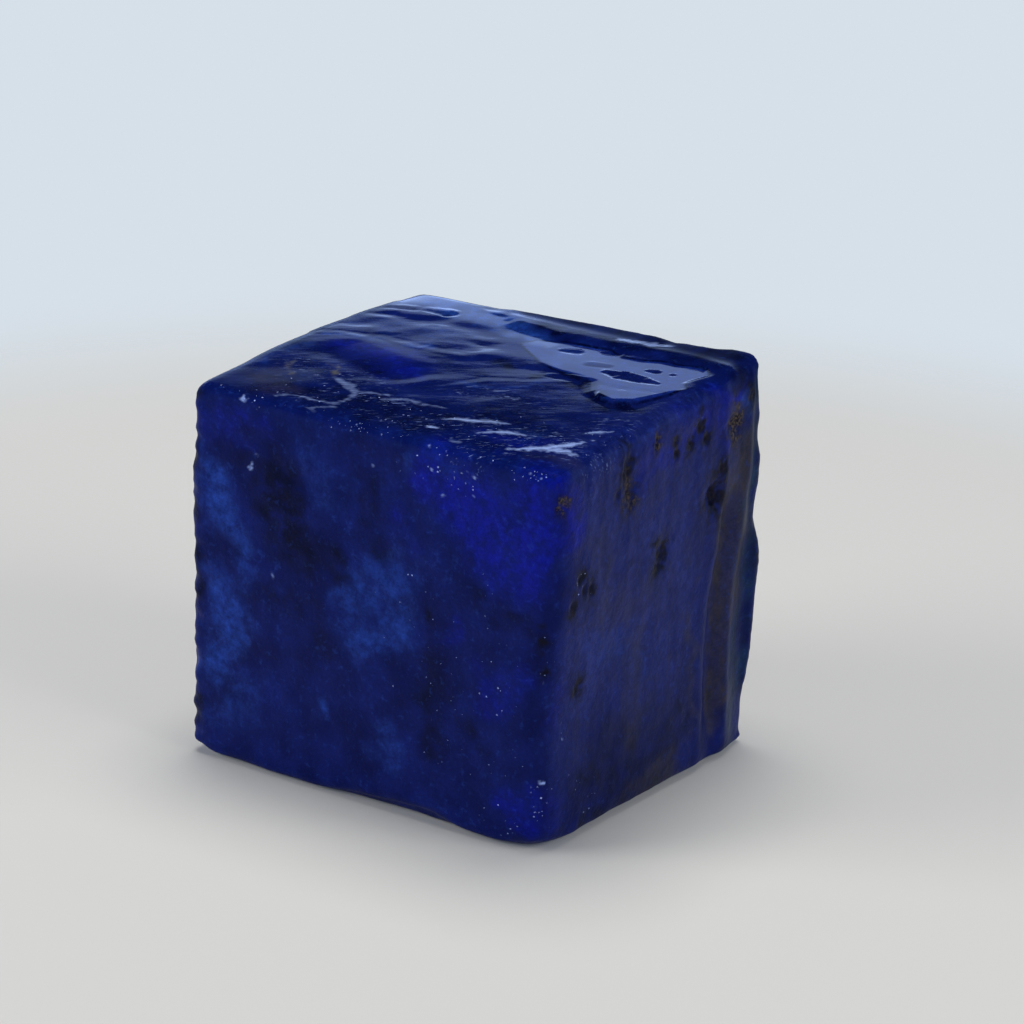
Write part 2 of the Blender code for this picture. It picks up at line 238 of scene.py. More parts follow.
dimples = [                     # waxless hollows of the calm places, how far they lean forward
    ([(1.9, 6.3, 0.3), (2.8, 6.6, 0.45)], 0.09),
    ([(4.4, 7.6, 0.3), (5.2, 7.9, 0.4)], 0.09),
    ([(8.9, 5.9, 0.2), (9.4, 6.0, 0.34)], 0.11),
    ([(10.7, 6.1, 0.2)], 0.1),
    ([(4.3, 1.5, 0.4), (6.6, 1.9, 0.3)], 0.06),
    ([(6.9, 4.0, 0.3), (8.2, 3.95, 0.75), (9.6, 3.9, 0.6), (10.9, 3.85, 0.2)], 0.125),
    ([(5.2, 4.8, 0.5), (6.2, 5.1, 0.4)], 0.03),
    ([(-10.4, 8.1, 0.4), (-8.9, 8.3, 0.7)], 0.1),
    ([(-12.9, 7.2, 0.4), (-11.4, 7.6, 0.5)], 0.08),
]
slants = [                      # strokes of the top that are turned to the front, how steeply
    ([(6.8, 11.6, 2.6), (13.4, 11.4, 2.8)], 0.09),
    ([(-7.0, 12.0, 1.6), (0.0, 11.9, 2.0), (6.0, 11.9, 2.2)], 0.09),
    ([(-11.5, 2.8, 3.0), (-7.0, 3.6, 3.2), (-3.5, 3.2, 2.0)], 0.02),
    ([(-10.0, -2.0, 3.0), (-4.6, -3.3, 3.2)], 0.018),
]
# Pits and chips are (x, y, z, radius, depth, rust) in mm.
pits = [
    (14.35, -1.4, 25.25, 0.4, 0.16, 0.9), (14.36, -1.5, 24.75, 0.36, 0.14, 0.6),
    (14.28, 0.9, 24.6, 0.4, 0.12, 0.1), (14.28, 1.1, 23.7, 0.42, 0.15, 0.1),
    (14.16, 4.0, 24.7, 0.6, 0.12, 0.1), (14.2, 4.7, 23.6, 0.5, 0.14, 0.1),
    (14.2, 2.9, 23.8, 0.45, 0.12, 0.1), (13.95, 8.4, 23.6, 0.9, 0.1, 1.0),
    (14.13, 10.4, 25.1, 0.6, 0.12, 0.2), (13.9, 6.3, 19.3, 1.2, 0.2, 0.1),
    (14.25, 6.9, 21.2, 0.6, 0.08, 0.0), (14.42, -4.8, 24.4, 0.8, 0.14, 0.0),
    (14.4, -4.9, 23.6, 0.7, 0.12, 0.2), (14.35, -4.5, 22.3, 0.8, 0.18, 0.7),
    (14.44, -5.9, 22.8, 0.35, 0.1, 0.1), (14.5, -11.9, 23.95, 0.45, 0.1, 0.8),
    (14.1, -0.3, 17.2, 0.9, 0.12, 0.0), (14.1, -0.7, 16.4, 0.6, 0.08, 0.0),
    (14.5, -9.9, 18.3, 0.5, 0.1, 0.0), (14.45, -8.6, 17.3, 0.5, 0.1, 0.0),
    (14.45, -9.4, 17.5, 0.45, 0.1, 0.0), (14.46, -10.6, 16.7, 0.5, 0.08, 0.0),
    (13.8, -8.8, 10.55, 0.6, 0.1, 0.0), (13.5, -12.1, 14.6, 0.34, 0.08, 0.0),
    (13.5, -12.0, 12.6, 0.26, 0.08, 0.0), (13.45, -12.0, 15.8, 0.26, 0.08, 0.0),
    (-9.4, 12.75, 19.4, 0.7, 0.2, 0.6), (-8.4, 12.75, 18.5, 0.45, 0.14, 0.2),
    (3.5, 12.75, 8.2, 0.8, 0.2, 0.2), (4.7, 12.75, 7.4, 0.5, 0.14, 0.0),
    (7.6, 12.75, 20.2, 0.5, 0.16, 0.9), (7.9, 12.75, 19.1, 0.4, 0.12, 0.4),
    (10.4, 12.7, 13.6, 0.9, 0.18, 0.3), (-1.2, 12.75, 22.4, 0.5, 0.14, 0.0),
    (-14.4, -8.2, 18.6, 0.7, 0.18, 0.5), (-14.4, -7.2, 17.7, 0.4, 0.12, 0.0),
    (-14.35, 2.6, 8.4, 0.8, 0.2, 0.2), (-14.35, 7.9, 15.6, 0.5, 0.14, 0.8),
    (-14.35, 6.9, 21.8, 0.6, 0.16, 0.1), (-14.3, -3.4, 10.2, 0.45, 0.12, 0.0),
]
chips = [
    (-10.2, -12.4, 25.7, 0.26, 0.07, 0.8), (-9.95, -12.45, 25.6, 0.2, 0.05, 0.6),
    (4.6, -12.4, 25.65, 0.14, 0.04, 0.5), (-9.25, -12.7, 21.25, 0.18, 0.03, 0.7),
    (-9.05, -12.7, 21.5, 0.16, 0.03, 0.6), (-8.72, -12.7, 22.2, 0.12, 0.02, 0.25),
    (-7.35, -12.7, 14.3, 0.16, 0.02, 0.3), (13.4, -11.95, 5.05, 0.13, 0.04, 0.9),
    (13.75, -10.35, 8.6, 0.12, 0.02, 0.5), (13.75, -10.5, 8.1, 0.1, 0.02, 0.6),
    (13.7, -10.2, 7.5, 0.12, 0.02, 0.4), (13.55, -11.9, 14.9, 0.1, 0.02, 0.5),
    (13.5, -12.0, 11.9, 0.1, 0.02, 0.4), (8.3, -12.7, 24.75, 0.12, 0.02, 0.7),
    (8.35, -12.7, 24.5, 0.12, 0.02, 0.6), (5.1, -12.7, 24.3, 0.12, 0.02, 0.6),
    (6.05, -12.7, 22.8, 0.1, 0.02, 0.5), (8.4, -12.7, 23.25, 0.1, 0.02, 0.5),
    (0.5, -12.7, 23.5, 0.12, 0.02, 0.4), (1.2, -12.5, 25.65, 0.12, 0.02, 0.5),
    (7.6, -12.5, 25.66, 0.1, 0.02, 0.6), (7.95, -12.5, 25.66, 0.09, 0.02, 0.5),
    (8.5, -12.5, 25.66, 0.08, 0.02, 0.4), (9.3, -12.5, 25.65, 0.1, 0.02, 0.5),
    (9.7, -12.5, 25.65, 0.11, 0.02, 0.6), (10.1, -12.5, 25.64, 0.1, 0.02, 0.6),
    (10.5, -12.5, 25.63, 0.09, 0.02, 0.5), (12.3, -12.45, 25.55, 0.13, 0.02, 0.5),
    (12.8, -12.35, 25.3, 0.1, 0.02, 0.5), (13.1, -12.3, 25.2, 0.15, 0.03, 0.7),
    (13.5, -11.75, 5.0, 0.13, 0.04, 0.9), (14.3, 8.7, 25.5, 0.2, 0.03, 0.4),
    (13.0, -6.6, 26.2, 0.1, 0.03, 0.8),
]
swells = [                      # strokes of (x, y, z, radius) that stand out, and by how much
    ([(14.1, 12.3, 23.0, 1.2), (14.0, 12.3, 17.0, 1.3), (13.9, 12.3, 5.0, 1.2)], 0.2),
    ([(14.2, 12.3, 20.3, 0.9)], 0.15),
    ([(-14.2, 0.0, 26.2, 1.0), (-14.0, 8.5, 26.2, 1.0)], 0.12),
    ([(-14.2, -12.3, 0.6, 1.0)], 0.22),
    ([(5.0, 12.6, 27.3, 1.2), (9.0, 12.5, 27.3, 1.8), (10.2, 12.4, 27.3, 1.4)], -0.3),
    ([(12.8, 11.6, 27.2, 1.6)], 0.12),
    ([(-12.0, 12.7, 15.5, 1.0), (-5.0, 12.7, 18.5, 1.6), (1.0, 12.7, 17.0, 1.2)], 0.2),
    ([(2.0, 12.7, 12.0, 1.0), (6.0, 12.7, 14.5, 1.4), (11.0, 12.7, 17.0, 1.0)], 0.18),
    ([(-10.0, 12.7, 5.0, 1.2), (-3.0, 12.7, 6.5, 1.6), (3.0, 12.7, 5.0, 1.0)], 0.16),
    ([(-14.3, -9.0, 14.0, 1.0), (-14.3, -4.0, 15.5, 1.4), (-14.3, 3.0, 18.0, 1.2)], 0.18),
    ([(-14.3, -3.0, 6.0, 1.2), (-14.3, 4.0, 5.0, 1.6), (-14.3, 9.0, 7.0, 1.0)], 0.18),
]


def alongLedges(points):        # turned so that x runs along the top's ledges
    across = points[:, :2] @ climbWay
    along = points[:, 0] * climbWay[1] - points[:, 1] * climbWay[0]
    return np.stack([along, across, points[:, 2]], 1)


def refine(form, wanted):       # halves the edges of the wanted faces and softens them
    form.normal_update()
    edges = {edge for face in form.faces if wanted(face) for edge in face.edges}
    edges = [edge for edge in form.edges if edge in edges]
    grown = bmesh.ops.subdivide_edges(form, edges=edges, cuts=1, use_grid_fill=True)
    fresh = [item for item in grown["geom_inner"] if isinstance(item, bmesh.types.BMVert)]
    bmesh.ops.smooth_vert(form, verts=fresh, factor=stone["smoothing"], use_axis_x=True,
                          use_axis_y=True, use_axis_z=True)


def inFocus(place):             # where the top has its finest steps
    left, right = stone["finestTo"]
    return place.y < (right if place.x > 0 else left)


def fineMesh(node):             # the solid's mesh, rounded and with small enough faces
    form = bmesh.new()
    form.from_mesh(node.data)
    bmesh.ops.remove_doubles(form, verts=form.verts, dist=stone["weldGap"] * mm)
    bmesh.ops.join_triangles(form, faces=form.faces,
                             angle_face_threshold=math.radians(stone["quadAngle"]),
                             angle_shape_threshold=math.pi)
    coarse = bpy.data.meshes.new("coarse")
    form.to_mesh(coarse)
    form.free()
    block = bpy.data.objects.new("coarse", coarse)
    scene.collection.objects.link(block)
    rounding = block.modifiers.new("rounding", "SUBSURF")
    rounding.levels = rounding.render_levels = 1
    seen = block.evaluated_get(bpy.context.evaluated_depsgraph_get())
    fine = bpy.data.meshes.new_from_object(seen)
    bpy.data.objects.remove(block)
    form = bmesh.new()
    form.from_mesh(fine)
    aside, upwards = stone["sideFacing"], stone["topFacing"]
    refine(form, lambda face: face.normal.y < -aside or face.normal.x > aside)
    refine(form, lambda face: face.normal.z > upwards)
    refine(form, lambda face: face.normal.z > upwards
           and inFocus(face.calc_center_median() / mm))
    spots = [(Vector(spot[:3]) * mm, (spot[3] + stone["spotMargin"]) * mm)
             for spot in pits + chips]
    refine(form, lambda face: face.normal.z < upwards and any(
        (face.calc_center_median() - middle).length < reach for middle, reach in spots))
    form.to_mesh(fine)
    form.free()
    return fine


def calmShare(points):          # 1 where the top lies calm
    calm = withinOutline(points, shelf, softness["calmShelf"])
    for place in calmPlaces:
        calm = np.maximum(calm, withinStroke(points, place, softness["calm"]))
    return calm


def withinShelf(points):        # 1 on the shelf, 0 around it, with a step between
    onRamp = withinStroke(points, shelfRamp, softness["ramp"])
    return withinOutline(points, shelf, softness["shelf"] + softness["onRamp"] * onRamp)


def topRelief(points):          # mm upwards on the glossy top
    rough = np.zeros(len(points))
    for place in roughPlaces:
        rough = np.maximum(rough, withinStroke(points, place, softness["rough"]))
    swing = 1 + (stone["calmRipple"] - 1) * calmShare(points)
    swing *= 1 + (stone["roughRipple"] - 1) * rough
    turned = alongLedges(points)
    level = stone["shelfLevel"] + (points[:, :2] - stone["shelfMiddle"]) @ stone["shelfSlope"]
    lift = (level - points[:, 2]) * withinShelf(points)
    for size, height, seed in zip(stone["rippleSizes"], stone["rippleHeights"],
                                  seeds["ripples"]):
        lift += swing * height * noiseAt(turned, size, seed)
    fray = stone["fray"] * noiseAt(turned, stone["fraySize"], seeds["fray"])
    for lean, rim, strokes in treads.values():
        gap, offset = np.full(len(points), 1e9), np.zeros((len(points), 2))
        for stroke in strokes:
            way, past, _ = nearestOn(points, stroke)
            offset = np.where((past < gap)[:, None], way, offset)
            gap = np.minimum(gap, past)
        lift -= lean * (offset @ climbWay) * (1 - ease(0, rim, gap + fray))
    for stroke, lean in slants:
        way, past, width = nearestOn(points, stroke)
        lift += lean * (way @ climbWay) * (1 - ease(*fades["slant"], past / width))
    for stroke, lean in dimples:
        way, past, _ = nearestOn(points, stroke)
        lift += lean * (way @ climbWay) * (1 - ease(*fades["dimple"], past + fray))
    return lift


def fromPit(points, middle):    # mm, with upright distances shortened
    return np.sqrt((((points - middle) * stone["pitSquash"]) ** 2).sum(1))


def relief(points, normals):    # mm outwards, for every point of the stone
    top = ease(*fades["topShape"], normals[:, 2])
    side = ease(*fades["sideShape"], normals[:, 0])
    base = ease(*fades["underside"], -normals[:, 2])
    skin = sum(height * noiseAt(points, size, seed) for size, height, seed in
               zip(stone["skinSizes"], stone["skinHeights"], seeds["skin"]))
    furrows = stone["furrowHeight"] * noiseAt(points, stone["furrowSize"], seeds["furrows"])
    deeper = stone["fluteHeight"] * noiseAt(points, stone["fluteSize"], seeds["flutes"])
    furrows += deeper * withinStroke(points, flutes, softness["flutes"])
    outwards = stone["swell"] + top * topRelief(points) + (1 - top) * skin + side * furrows
    nicked = stone["nickHeight"] * noiseAt(points, stone["nickSize"], seeds["nicks"])
    outwards += nicked * withinStroke(points, nicks, softness["nicks"])
    for stroke, height in swells:
        _, past, width = nearestOn(points, stroke)
        outwards += height * dome(1 + past / width)
    crumbs = noiseAt(points, stone["crumbSize"], seeds["crumbs"])
    for x, y, z, radius, depth, _ in pits + chips:
        bowl = dome(fromPit(points, (x, y, z)) / radius)
        outwards -= depth * bowl * (1 + crumbs)
    return outwards * (1 - base)


# Where the colour or the gloss changes: strokes of (x, y, z, radius) in mm with a strength.
marks = {
    "slate": [
        (0.9, [(14.2, -7.5, 24.0, 2.6), (14.2, -7.5, 8.0, 2.6)]),
        (0.9, [(14.2, 0.0, 24.0, 3.8), (14.0, 0.0, 8.0, 3.8)]),
        (0.5, [(14.0, 8.0, 24.5, 2.0), (14.0, 4.0, 3.0, 2.0)]),
        (0.8, [(9.0, 12.7, 20.0, 3.0), (4.0, 12.7, 13.0, 2.6)]),
        (0.7, [(-14.2, 8.0, 19.0, 2.6), (-14.2, 6.0, 8.0, 2.4)]),
    ],
    "cloud": [
        (0.8, [(-12.2, -12.7, 19.6, 1.1), (-11.4, -12.7, 17.1, 1.4), (-10.2, -12.7, 16.0, 1.1),
               (-9.4, -12.7, 14.6, 0.6)]),
        (0.65, [(-12.3, -12.6, 12.7, 1.0), (-10.4, -12.6, 11.8, 1.3), (-11.0, -12.6, 8.8, 1.3),
                (-12.3, -12.5, 6.6, 1.0)]),
        (0.5, [(-0.9, -12.7, 14.4, 1.2), (2.2, -12.7, 16.3, 1.3)]),
        (0.5, [(2.4, -12.6, 13.6, 1.4), (0.3, -12.6, 11.8, 1.3)]),
        (0.6, [(-3.84, -12.5, 5.6, 0.5)]),
        (0.35, [(1.7, -12.5, 6.2, 0.6), (1.7, -12.5, 4.0, 0.8)]),
        (0.3, [(-12.3, -12.5, 3.4, 1.0), (-9.0, -12.5, 6.0, 1.0)]),
        (0.4, [(3.2, -12.7, 24.4, 0.4), (7.2, -12.7, 25.2, 0.4)]),
        (0.25, [(-4.5, -12.7, 23.2, 1.2), (-2.5, -12.7, 21.0, 0.9)]),
        (0.35, [(-13.0, -12.6, 22.0, 0.3), (-13.2, -12.7, 18.8, 0.3)]),
        (0.3, [(13.9, 0.2, 9.3, 1.0), (14.1, -6.7, 13.2, 1.0)]),
        (0.7, [(-10.5, 12.6, 14.5, 1.2), (-7.5, 12.6, 11.5, 1.6), (-8.5, 12.6, 7.0, 1.0)]),
        (0.5, [(1.5, 12.7, 19.0, 1.4), (0.0, 12.7, 16.0, 1.0)]),
        (0.5, [(12.0, 12.6, 11.0, 1.0), (10.5, 12.6, 8.5, 1.2)]),
        (0.7, [(-14.2, -9.5, 11.0, 1.2), (-14.2, -7.0, 7.5, 1.6)]),
        (0.5, [(-14.2, 3.0, 14.5, 1.2), (-14.2, 0.5, 12.0, 1.4)]),
        (0.4, [(0.5, -2.6, 26.5, 0.4), (3.2, -1.0, 26.5, 0.4), (4.2, 1.0, 26.6, 0.4)]),
        (0.6, [(-12.5, -0.2, 26.4, 0.5), (-9.5, 1.2, 26.5, 0.5), (-5.5, 1.2, 26.5, 0.5)]),
        (0.2, [(-12.0, 3.6, 26.5, 1.2), (-8.0, 4.4, 26.6, 1.6), (-4.6, 3.8, 26.6, 1.0)]),
        (0.4, [(14.3, -4.0, 25.6, 0.5), (14.3, -2.0, 24.9, 0.4)]),
        (0.8, [(14.0, 9.4, 25.4, 0.6), (14.0, 10.6, 24.7, 0.7)]),
        (0.25, [(-3.0, 11.5, 27.0, 0.8), (2.0, 11.3, 27.1, 0.8), (5.0, 11.2, 27.2, 0.7)]),
        (0.4, [(6.6, -8.3, 26.2, 0.5), (9.2, -7.6, 26.2, 0.5), (8.6, -8.9, 26.2, 0.4)]),
        (0.4, [(-13.2, -7.0, 26.1, 0.8), (-13.0, -3.5, 26.3, 0.8)]),
    ],
    "glow": [
        (0.75, [(5.4, -12.7, 24.0, 1.3), (8.5, -12.7, 22.6, 2.1), (11.0, -12.7, 20.6, 2.6)]),
        (0.85, [(12.6, -12.6, 24.0, 1.3), (12.9, -12.4, 19.0, 1.6)]),
        (1.0, [(14.3, -11.4, 24.6, 0.7), (14.5, -10.6, 22.5, 0.7), (14.3, -11.6, 19.5, 0.6)]),
        (0.7, [(11.0, -12.4, 3.6, 0.9), (13.0, -12.1, 2.6, 1.3)]),
        (0.5, [(7.7, -12.5, 13.4, 0.6)]),
        (0.45, [(10.0, -12.5, 10.6, 1.1), (12.0, -12.4, 12.5, 0.9)]),
        (0.4, [(-12.5, -12.5, 23.6, 0.9), (-8.0, -12.6, 24.0, 0.8)]),
        (0.35, [(2.6, -12.6, 20.0, 1.0)]),
        (0.4, [(13.8, -10.6, 12.0, 0.8), (13.9, -10.7, 8.0, 0.8)]),
        (0.5, [(14.4, -2.8, 23.5, 1.2), (14.3, 6.0, 25.0, 1.0), (14.1, 7.0, 22.8, 0.8)]),
        (0.55, [(-9.6, -1.8, 26.4, 1.4), (-6.4, -2.4, 26.4, 2.0), (-4.2, -3.8, 26.4, 1.4)]),
        (0.5, [(7.5, -9.5, 26.1, 0.8), (10.5, -9.0, 26.1, 1.0)]),
        (0.8, [(13.8, 6.6, 26.2, 0.9), (14.0, 9.0, 25.8, 0.8)]),
        (0.4, [(-9.0, 12.6, 21.0, 2.0), (-4.0, 12.6, 23.0, 1.6)]),
        (0.5, [(6.0, 12.6, 6.0, 2.2), (9.0, 12.6, 3.0, 1.4)]),
        (0.4, [(-14.2, -6.0, 17.0, 2.0), (-14.2, -2.0, 21.0, 1.8)]),
    ],
    # painted shade along the upright and top edges, over the back rim, behind and on the riser of
    # the shelf and over the top's front half, darker towards the bottom of the right face; and
    # the stone's own darker patches
    "darkAndShade": [
        (1.0, [(-14.2, -12.4, 25.0, 0.5), (-14.2, -12.4, 1.0, 0.5)]),
        (0.8, [(-14.3, -10.0, 26.2, 0.7), (-14.3, 4.0, 26.4, 0.7), (-14.0, 9.0, 26.4, 0.6)]),
        (0.5, [(-10.8, -12.7, 22.8, 0.8), (-7.6, -12.7, 21.6, 0.8)]),
        (0.9, [(-6.6, -12.7, 20.4, 1.6), (-5.6, -12.7, 16.6, 1.4)]),
        (0.8, [(-3.1, -12.7, 16.9, 0.9), (-0.9, -12.7, 15.9, 0.4)]),
        (0.6, [(-0.1, -12.7, 22.6, 0.8), (0.9, -12.7, 20.0, 0.7), (1.6, -12.7, 17.8, 0.5)]),
        (0.5, [(-7.6, -12.6, 12.6, 0.9), (-4.0, -12.6, 12.8, 1.2), (-3.6, -12.6, 9.8, 1.0)]),
        (0.7, [(7.8, -12.6, 16.8, 0.6), (12.0, -12.5, 15.7, 0.7)]),
        (0.6, [(5.4, -12.6, 12.6, 0.8), (6.0, -12.5, 9.5, 1.0), (5.2, -12.5, 6.0, 1.0)]),
        (1.0, [(5.0, -12.66, 14.8, 0.3), (5.6, -12.6, 13.2, 0.35), (6.1, -12.55, 12.0, 0.3)]),
        (0.5, [(8.0, -12.5, 7.5, 0.8), (9.6, -12.5, 6.0, 0.8)]),
        (0.3, [(13.5, -12.1, 16.0, 0.5), (13.5, -12.0, 12.4, 0.5)]),
        (0.6, [(14.0, -7.5, 4.0, 2.2), (14.0, 3.0, 4.6, 2.2)]),
        (0.9, [(13.8, -7.0, 0.8, 0.7), (14.0, 1.0, 1.4, 0.9)]),
        (0.6, [(-10.0, -9.5, 26.0, 2.0), (0.0, -9.8, 26.0, 1.8), (7.0, -6.5, 26.3, 2.6)]),
        (0.6, [(-9.8, -3.4, 26.4, 0.8), (-6.0, -4.2, 26.4, 0.9), (-3.6, -4.9, 26.4, 0.6)]),
        (0.9, [(-7.0, 11.9, 27.0, 0.7), (2.0, 11.6, 27.1, 0.8), (7.5, 11.2, 27.2, 1.4),
               (13.2, 10.4, 27.2, 1.2)]),
        (0.8, [(12.8, 7.8, 27.1, 0.6), (13.4, 9.0, 27.1, 0.8)]),
        (0.9, [(-3.0, 9.4, 27.0, 0.7), (2.0, 9.1, 27.0, 0.8), (7.0, 9.3, 27.0, 1.0),
               (12.0, 9.0, 27.0, 1.1)]),
        (0.9, [(0.8, 1.2, 26.6, 0.7), (3.4, 1.6, 26.6, 0.6), (6.2, 1.2, 26.6, 0.5)]),
        (1.0, [(6.8, 1.1, 26.6, 0.4), (8.0, 0.0, 26.6, 0.6), (9.4, -1.1, 26.6, 0.7),
               (10.8, -1.7, 26.6, 0.6), (12.6, -0.6, 26.6, 0.6), (13.1, 1.4, 26.6, 0.5)]),
        (0.7, [(14.4, 12.2, 22.0, 0.7), (14.2, 12.2, 4.0, 0.7)]),
        (0.6, [(-4.0, 12.7, 17.0, 1.2), (-2.5, 12.7, 9.0, 1.4), (0.5, 12.7, 4.0, 1.4)]),
        (0.6, [(5.5, 12.7, 22.5, 1.2), (6.5, 12.7, 17.5, 0.9)]),
        (0.6, [(-14.2, 4.5, 22.5, 1.2), (-14.2, -1.0, 16.8, 1.2), (-14.2, -4.0, 4.0, 1.4)]),
    ],
    "teal": [
        (1.0, [(14.0, 11.8, 26.0, 0.8), (13.8, 11.4, 20.0, 1.0), (13.75, 10.9, 14.0, 1.2),
               (13.8, 10.3, 9.0, 1.1), (13.9, 10.0, 2.0, 1.1)]),
        (0.5, [(-14.0, -5.0, 25.5, 1.0), (-14.0, 8.0, 25.8, 1.0)]),
    ],
    "smoke": [
        (1.0, [(13.9, 9.8, 21.2, 1.3), (13.7, 8.9, 17.5, 1.7), (13.8, 8.4, 14.1, 1.6),
               (13.7, 8.0, 11.0, 1.2), (13.8, 7.6, 7.0, 0.9), (13.9, 7.2, 2.5, 0.5)]),
        (0.5, [(14.17, 4.6, 14.5, 0.3), (14.1, 4.4, 9.0, 0.5), (14.1, 4.6, 4.0, 0.3)]),
        (0.3, [(14.0, 10.5, 23.2, 0.6), (14.0, 10.6, 21.0, 0.7)]),
        (0.25, [(14.2, -7.5, 20.4, 1.2), (14.2, -6.0, 15.4, 1.2), (14.2, -2.3, 14.6, 1.0)]),
        (0.4, [(14.0, -2.3, 12.0, 0.9), (14.0, -2.6, 6.0, 1.2)]),
        (0.6, [(13.9, -1.5, 1.6, 1.0), (13.9, 2.5, 1.8, 1.0)]),
        (0.3, [(-11.0, -9.0, 26.1, 1.2), (-8.6, -10.2, 26.0, 1.2)]),
        (0.25, [(11.5, -10.8, 25.9, 0.8), (13.0, -10.4, 25.9, 0.6)]),
    ],
    # paler blue on the back flat and by the shelf: a painted reflection of the window band, where
    # wax also lies
    "sheenBand": [
        (1.0, [(-12.4, 9.8, 26.5, 1.6), (-6.5, 9.8, 26.7, 1.5), (-3.4, 8.2, 26.7, 1.2),
               (0.0, 7.0, 26.7, 0.9)]),
        (0.25, [(2.6, 5.8, 26.7, 1.4), (7.5, 6.4, 26.9, 1.0)]),
        (0.8, [(-6.4, 8.3, 26.7, 0.8), (-4.6, 7.9, 26.7, 0.9), (-1.6, 7.2, 26.7, 0.8)]),
    ],
    "stain": [
        (0.6, [(-10.5, -7.0, 26.2, 0.35)]),
        (0.8, [(-8.0, -6.3, 26.25, 0.35)]),
    ],
    "dull": [
        (1.0, [(-6.0, 12.7, 26.8, 1.3), (0.0, 12.6, 27.0, 2.0), (7.5, 12.2, 27.2, 2.4),
               (13.2, 11.4, 27.2, 1.8)]),
        (0.5, [(-14.3, -11.0, 26.0, 0.9), (-14.3, 5.0, 26.4, 0.8), (-13.8, 11.0, 26.5, 0.6)]),
        (0.15, [(-12.5, 3.6, 26.5, 1.4), (-4.8, 4.0, 26.6, 1.8)]),
        (0.5, [(-12.5, -10.5, 25.9, 1.6), (-9.0, -8.0, 26.1, 1.2)]),
    ],
    # where painted glints are scattered over the top
    "spark": [
        (0.9, [(3.0, -9.3, 26.1, 1.2), (8.0, -8.6, 26.1, 1.6), (12.4, -8.0, 26.1, 1.6)]),
        (0.8, [(5.0, -11.2, 25.9, 0.8), (12.0, -10.6, 25.9, 1.0)]),
        (0.7, [(-8.0, -10.6, 26.0, 1.0), (-1.0, -8.6, 26.1, 1.4)]),
        (0.6, [(-10.5, -6.8, 26.2, 1.2), (-4.0, -6.4, 26.2, 1.2)]),
        (0.6, [(2.0, -3.4, 26.4, 1.4), (7.5, -3.6, 26.4, 1.2)]),
        (0.6, [(12.0, -5.0, 26.2, 0.8), (12.4, -1.5, 26.4, 0.6)]),
        (0.5, [(-2.0, -10.8, 25.9, 0.7), (2.5, -10.7, 25.9, 0.7)]),
    ],
    "dust": [
        (0.6, [(-3.2, -12.45, 25.7, 0.3), (6.0, -12.45, 25.65, 0.3), (13.6, -12.4, 25.5, 0.35)]),
        (1.0, [(-5.0, -12.5, 25.75, 0.1), (6.0, -12.5, 25.7, 0.16), (12.6, -12.5, 25.6, 0.12)]),
        (0.3, [(-13.4, -12.4, 25.6, 0.35), (-3.2, -12.45, 25.7, 0.3)]),
        (0.3, [(3.0, -12.7, 24.0, 0.6), (7.5, -12.7, 24.4, 0.8), (9.8, -12.7, 24.8, 0.5)]),
        (0.08, [(3.0, -12.6, 17.0, 1.6), (6.0, -12.6, 12.0, 2.4), (7.5, -12.5, 6.0, 2.2)]),
        (0.2, [(9.4, -12.6, 19.2, 0.3), (9.8, -12.6, 14.6, 0.4)]),
        (0.2, [(6.0, -12.7, 17.0, 0.4)]),
        (0.1, [(10.4, -12.6, 13.0, 1.0), (11.0, -12.5, 8.0, 1.2), (10.5, -12.4, 2.0, 1.2)]),
        (0.9, [(13.4, -11.9, 4.4, 0.5), (13.5, -11.7, 2.4, 0.5)]),
        (0.6, [(13.75, -10.3, 8.4, 0.25), (13.7, -10.6, 6.8, 0.25)]),
        (0.3, [(13.6, -12.1, 14.6, 0.4), (13.6, -12.0, 12.0, 0.4)]),
        (0.7, [(-0.9, -10.95, 25.9, 0.3), (1.5, -10.9, 25.9, 0.3)]),
        (0.12, [(-9.0, -9.5, 26.0, 2.4), (3.0, -9.0, 26.1, 2.2), (11.0, -7.5, 26.1, 2.2)]),
        (0.15, [(13.8, -8.8, 4.0, 1.0), (13.8, -6.6, 1.8, 0.8)]),
        (0.12, [(-6.0, 12.7, 14.0, 2.4), (4.0, 12.7, 9.0, 2.4), (10.0, 12.6, 16.0, 2.0)]),
        (0.12, [(-14.2, -7.0, 14.0, 2.4), (-14.2, 4.0, 10.0, 2.4)]),
        (0.6, [(13.8, 12.7, 25.0, 0.3), (13.9, 12.5, 18.0, 0.3)]),
        (0.5, [(14.1, -7.4, 25.9, 0.3), (13.95, -4.6, 26.15, 0.4)]),
        (0.3, [(14.5, -9.9, 18.4, 0.5), (14.4, -8.5, 17.2, 0.4)]),
    ],
}
glintsAndScuffs = {                      # how pale some of the steps are painted: chalky scuffs on the cracks, and painted highlights on the streaks, the fishtail, the glints and the rim
    "fishtail": 0.62, "longStreak": 0.5, "midStreak": 0.5, "rightStreak": 0.5,
    "leftStreak": 0.3, "crack": 0.35, "shortCrack": 0.25, "glint3": 0.7, "glint1": 0.3,
    "rimGlint": 0.6, "glint5": 0.2,
}

painting = {
    "bends": ((3.4, 1.5, 0), (1.2, 0.7, 3)),  # mm, the waves that bend the marks: how long
                                # they are and how far they reach, and what their seed gains
    "straight": ("dust", "dull"),  # the marks that they leave alone
    "raggedSize": 0.3,          # mm, how torn the scuffs, the painted highlights, the chips and the pits are
    "tornSize": 0.7,
    "tornShare": 0.9,
    "glintAndScuffFray": 0.2,
    "bareness": 0.9,            # how much of the wax is missing in the dimples
}


